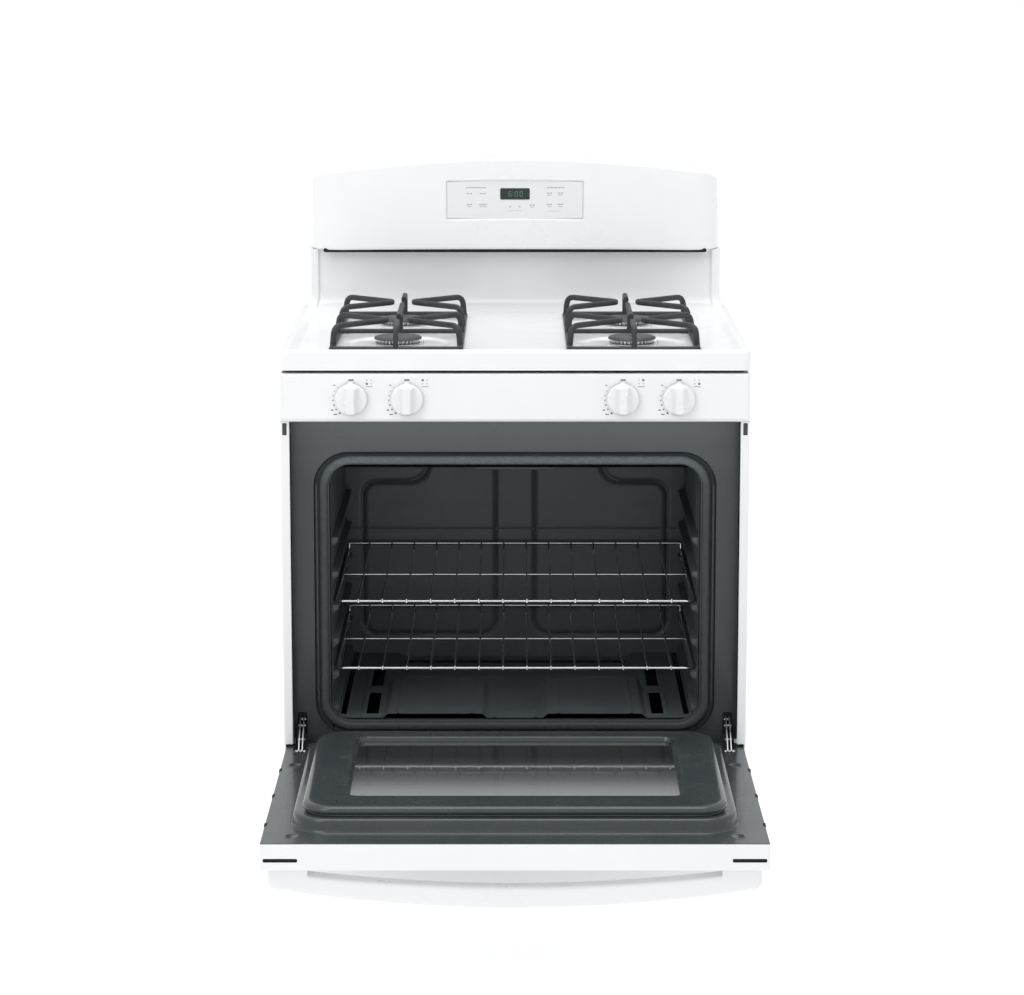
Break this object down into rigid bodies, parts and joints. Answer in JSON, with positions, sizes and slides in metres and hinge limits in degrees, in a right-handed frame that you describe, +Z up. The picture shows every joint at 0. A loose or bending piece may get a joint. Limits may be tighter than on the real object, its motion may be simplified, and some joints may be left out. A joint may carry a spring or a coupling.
{
  "type": "freestanding gas range",
  "caption": "Upright cooker with a gas cooktop, lift-off grates, push-to-turn knobs, a fold-down oven door, sliding racks, a storage drawer and a clock console.",
  "frame": {"origin": "on the floor under the middle of the whole range as it stands at rest, door open", "axes": "+X to the right seen from the front, +Y towards the wall behind, +Z up"},
  "size_m": [0.76, 1.185, 1.185],
  "materials": {
    "white_enamel": "gloss white porcelain enamel",
    "grey_enamel": "speckled dark grey porcelain enamel",
    "galvanised": "plain zinc-coated sheet",
    "cast_iron": "matte grey-green cast iron",
    "cap_enamel": "matte enamelled cap",
    "aluminium": "die-cast",
    "chrome_wire": "bright plated wire",
    "white_plastic": "gloss white moulding",
    "overlay": "printed key overlay",
    "display": "dark display window",
    "glass": "dark tinted oven glass",
    "lamp_glass": "clear glass",
    "gasket_fibre": "woven glass-fibre braid",
    "wool": "mineral wool",
    "brass": "machined",
    "ceramic": "ceramic",
    "black_rubber": "moulded",
    "circuit": "circuit board"
  },
  "bodies": {
    "cabinet": {"left_side_panel": "white_enamel", "right_side_panel": "white_enamel", "back_panel": "galvanised", "power_cord_gland": "black_rubber", "base_frame": "galvanised", "levelling_feet": "black_rubber", "oven_front_frame": "grey_enamel", "oven_gasket": "gasket_fibre", "oven_left_wall": "grey_enamel", "oven_right_wall": "grey_enamel", "oven_ceiling": "grey_enamel", "oven_back_wall": "grey_enamel", "burner_box_pan": "galvanised", "oven_floor_panel": "grey_enamel", "rack_guides": "grey_enamel", "oven_insulation": "wool", "bake_burner": "galvanised", "bake_igniter": "ceramic", "broil_burner": "galvanised", "temperature_sensor": "galvanised", "oven_lamp_cover": "lamp_glass", "oven_lamp": "ceramic", "control_panel": "white_enamel", "gas_manifold": "galvanised", "burner_valve_bodies": "brass", "cooktop": "white_enamel", "burner_heads": "aluminium", "burner_caps": "cap_enamel", "spark_electrodes": "ceramic", "burner_gas_tubes": "galvanised", "backguard_riser": "white_enamel", "console_housing": "white_plastic", "touch_panel": "overlay", "display_window": "display", "clock_board": "circuit", "gas_regulator": "aluminium", "gas_supply_pipe": "galvanised", "drawer_guides": "galvanised", "door_hinge_arms": "galvanised"},
    "oven_door": {"door_outer_skin": "white_enamel", "door_liner": "grey_enamel", "door_inner_glass": "glass", "door_outer_glass": "glass", "door_hinge_boxes": "galvanised", "door_handle": "white_plastic", "door_screws": "galvanised"},
    "storage_drawer": {"drawer_front": "white_enamel", "drawer_box": "galvanised"},
    "lower_rack": {"lower_rack": "chrome_wire"},
    "upper_rack": {"upper_rack": "chrome_wire"},
    "left_grate": {"left_grate": "cast_iron"},
    "right_grate": {"right_grate": "cast_iron"},
    "valve_left_rear": {"valve_plug_left_rear": "brass"},
    "knob_left_rear": {"knob_left_rear": "white_plastic"},
    "valve_left_front": {"valve_plug_left_front": "brass"},
    "knob_left_front": {"knob_left_front": "white_plastic"},
    "valve_right_front": {"valve_plug_right_front": "brass"},
    "knob_right_front": {"knob_right_front": "white_plastic"},
    "valve_right_rear": {"valve_plug_right_rear": "brass"},
    "knob_right_rear": {"knob_right_rear": "white_plastic"}
  },
  "joints": [
    {"name": "door_hinge", "type": "hinge", "parent": "cabinet", "child": "oven_door", "pos_m": [0, -0.048, 0.2475], "axis": [1, 0, 0], "range_deg": [-90, 0]},
    {"name": "drawer_slide", "type": "slide", "parent": "cabinet", "child": "storage_drawer", "axis": [0, -1, 0], "range_m": [0, 0.4]},
    {"name": "lower_rack_slide", "type": "slide", "parent": "cabinet", "child": "lower_rack", "axis": [0, -1, 0], "range_m": [0, 0.28]},
    {"name": "upper_rack_slide", "type": "slide", "parent": "cabinet", "child": "upper_rack", "axis": [0, -1, 0], "range_m": [0, 0.28]},
    {"name": "left_grate_lift", "type": "slide", "parent": "cabinet", "child": "left_grate", "axis": [0, 0, 1], "range_m": [0, 0.15]},
    {"name": "right_grate_lift", "type": "slide", "parent": "cabinet", "child": "right_grate", "axis": [0, 0, 1], "range_m": [0, 0.15]},
    {"name": "valve_turn_left_rear", "type": "hinge", "parent": "cabinet", "child": "valve_left_rear", "pos_m": [-0.264, -0.0315, 0.834], "axis": [0, 1, 0], "range_deg": [0, 140]},
    {"name": "knob_push_left_rear", "type": "slide", "parent": "valve_left_rear", "child": "knob_left_rear", "axis": [0, 1, 0], "range_m": [0, 0.003], "stiffness_N_per_m": 1500},
    {"name": "valve_turn_left_front", "type": "hinge", "parent": "cabinet", "child": "valve_left_front", "pos_m": [-0.174, -0.0315, 0.834], "axis": [0, 1, 0], "range_deg": [0, 140]},
    {"name": "knob_push_left_front", "type": "slide", "parent": "valve_left_front", "child": "knob_left_front", "axis": [0, 1, 0], "range_m": [0, 0.003], "stiffness_N_per_m": 1500},
    {"name": "valve_turn_right_front", "type": "hinge", "parent": "cabinet", "child": "valve_right_front", "pos_m": [0.174, -0.0315, 0.834], "axis": [0, 1, 0], "range_deg": [0, 140]},
    {"name": "knob_push_right_front", "type": "slide", "parent": "valve_right_front", "child": "knob_right_front", "axis": [0, 1, 0], "range_m": [0, 0.003], "stiffness_N_per_m": 1500},
    {"name": "valve_turn_right_rear", "type": "hinge", "parent": "cabinet", "child": "valve_right_rear", "pos_m": [0.264, -0.0315, 0.834], "axis": [0, 1, 0], "range_deg": [0, 140]},
    {"name": "knob_push_right_rear", "type": "slide", "parent": "valve_right_rear", "child": "knob_right_rear", "axis": [0, 1, 0], "range_m": [0, 0.003], "stiffness_N_per_m": 1500}
  ]
}
